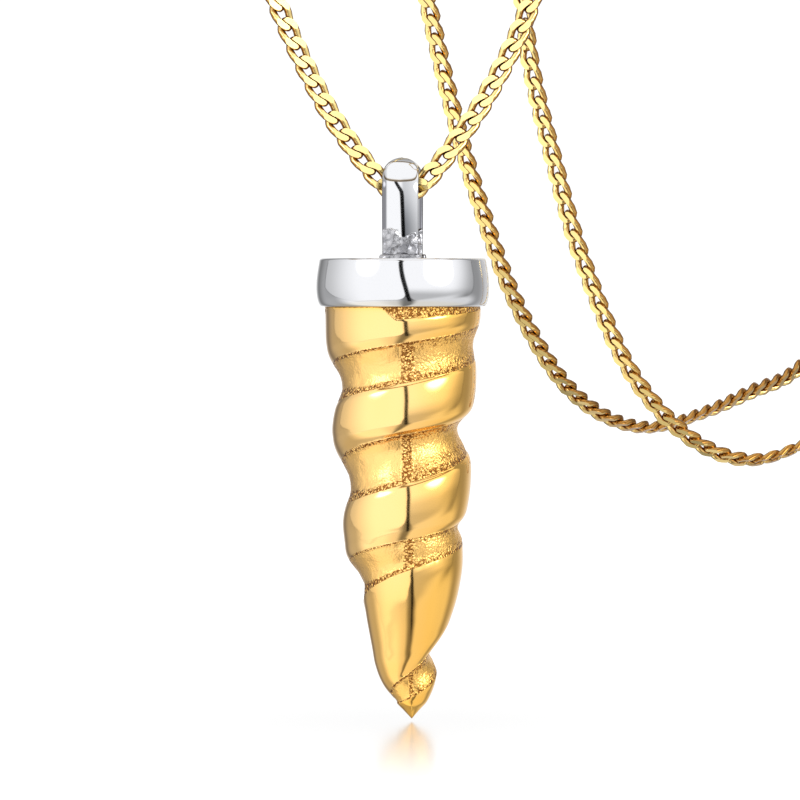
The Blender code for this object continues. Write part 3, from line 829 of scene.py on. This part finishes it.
def make_surroundings():
    """Two broad soft panels with a dark gap between them, a soft light overhead, pale walls."""
    world = bpy.data.worlds.new("studio")
    bpy.context.scene.world = world
    look = Finish(world)
    way = look.node("TexCoord", out="Generated")
    x = look.node("SeparateXYZ", None, {"Vector": way}, "X")
    y = look.node("SeparateXYZ", None, {"Vector": way}, "Y")
    z = look.node("SeparateXYZ", None, {"Vector": way}, "Z")
    degrees = 180 / math.pi
    height = z.maths("ARCSINE") * degrees
    azimuth = x.maths("ARCTAN2", 0.0 - y) * degrees
    leaning = azimuth + height * 0.21 + height.at_least(0.0) * 0.1

    # Walls and floor: (azimuth, glow) along the horizon, then what lies below the panels
    walls = 0.95 - azimuth.rise(-175.0, -150.0) * 0.68 + azimuth.rise(-152.0, -128.0) * 0.24
    walls = walls - azimuth.rise(-20.0, 60.0) * 0.1 + azimuth.rise(118.0, 160.0) * 0.54
    low = 1.0 - height.rise(-17.0, -4.5)
    middle = azimuth.rise(-12.0, 4.0) * (1.0 - azimuth.rise(12.0, 28.0))
    floor = 0.58 + azimuth.rise(-110.0, -76.0) * 0.75 - azimuth.rise(-45.0, -10.0) * 0.35
    floor = floor - middle * 0.72
    sides = azimuth.rise(-150.0, -120.0) * (1.0 - azimuth.rise(100.0, 125.0))
    glow = walls * (1.0 - low * sides) + floor * low * sides

    left = panel(leaning, height, -127.0, 0.6, -27.0, 60.0, 18.0)
    left = left.at_least(0.0 - (azimuth + height.at_most(0.0) * 2.0 + 126.0))
    right = panel(leaning, height - (leaning - 6.0) * 0.3, 6.2, 114.0, -37.0, 80.0, 22.0)
    glow = glow * (0.72 + left.at_most(right).rise(0.0, 3.5) * 0.28)
    left_glow = 0.75 + leaning.rise(-128.0, -55.0) * 0.68
    right_glow = 1.42 - (leaning - height * 0.9).rise(63.0, 108.0) * 0.85
    right_glow = right_glow * (0.5 + height.rise(-14.0, 1.5) * 0.5)
    inside_left, inside_right = 1.0 - left.rise(-0.8, 0.8), 1.0 - right.rise(-1.5, 1.5)
    glow = glow * (1.0 - inside_left) + left_glow * inside_left
    glow = glow * (1.0 - inside_right) + right_glow * inside_right
    patch = azimuth.rise(12.0, 26.0) * (1.0 - azimuth.rise(64.0, 98.0))
    patch = patch * (1.0 - (height - (azimuth - 20.0) * 0.33).rise(-32.0, -24.0))
    glow = glow * (1.0 - patch) + patch * 1.05
    glow = glow + spot(azimuth, height, -52.0, 22.0, 21.0, 11.5) * 3.6
    glow = glow + spot(azimuth, height, 51.0, 15.5, 24.0, 15.0) * 6.5

    slit = leaning.rise(-0.4, 1.2) * (1.0 - leaning.rise(5.4, 7.0)) * height.rise(-37.0, -29.0)
    glow = glow * (1.0 - slit * 0.97)
    arched = height - abs(azimuth) * 0.12
    gap = arched.rise(32.0, 34.5)
    glow = glow * (1.0 - gap) + gap * 0.3
    overhead = arched.rise(37.0, 43.0)
    glow = glow * (1.0 - overhead) + overhead * 1.4
    below = 1.0 - height.rise(-40.0, -22.0)
    tint = look.mix(below * sides, (1.0, 1.0, 1.0, 1.0), (1.0, 0.96, 0.86, 1.0))
    tint = look.mix(gap * (1.0 - overhead), tint, (1.0, 0.76, 0.5, 1.0))
    shade = look.node("Background", None, {"Color": tint, "Strength": glow})
    look.node("OutputWorld", None, {"Surface": shade})


def make_stage():
    """A plain white floor that mirrors the tip just under it, and a white shell for the camera."""
    floor = new_primitive(
        "floor", bpy.ops.mesh.primitive_plane_add, size=5.0, location=(0, 0, FLOOR_HEIGHT),
    )
    paper = Finish(bpy.data.materials.new("white_floor"))
    way = paper.node("VectorMath", {"operation": "LENGTH"}, {0: paper.places()}, "Value")
    share = 0.78 * (1.0 - way.rise(0.0, FLOOR_MIRROR_REACH))
    white = paper.node("Emission", None, {"Color": (1.0, 1.0, 1.0, 1.0), "Strength": 1.2})
    mirror = paper.node("BsdfGlossy", None, {"Color": (0.97, 0.97, 0.97, 1.0), "Roughness": 0.18})
    mixed = paper.node("MixShader", None, {0: share, 1: white, 2: mirror})
    paper.node("OutputMaterial", None, {"Surface": mixed})
    floor.data.materials.append(paper.owner)
    floor.visible_glossy = False
    shell = new_primitive(
        "shell", bpy.ops.mesh.primitive_uv_sphere_add, radius=2.4, segments=32, ring_count=16,
    )
    white = Finish(bpy.data.materials.new("white_shell"))
    glow = white.node("Emission", None, {"Color": (1.0, 1.0, 1.0, 1.0), "Strength": 1.1})
    white.node("OutputMaterial", None, {"Surface": glow})
    shell.data.materials.append(white.owner)
    for kind in ("diffuse", "glossy", "transmission", "volume_scatter", "shadow"):
        setattr(shell, "visible_" + kind, False)


bpy.context.scene.view_settings.view_transform = "Standard"
make_camera()
make_surroundings()
make_stage()
chain_route = Route()
hinge = chain_route.at(0.0)
make_chains(chain_route)
make_horn(hinge)
make_cap(hinge)
make_bail(hinge)
make_solder(hinge, bpy.data.materials["bail_steel"])
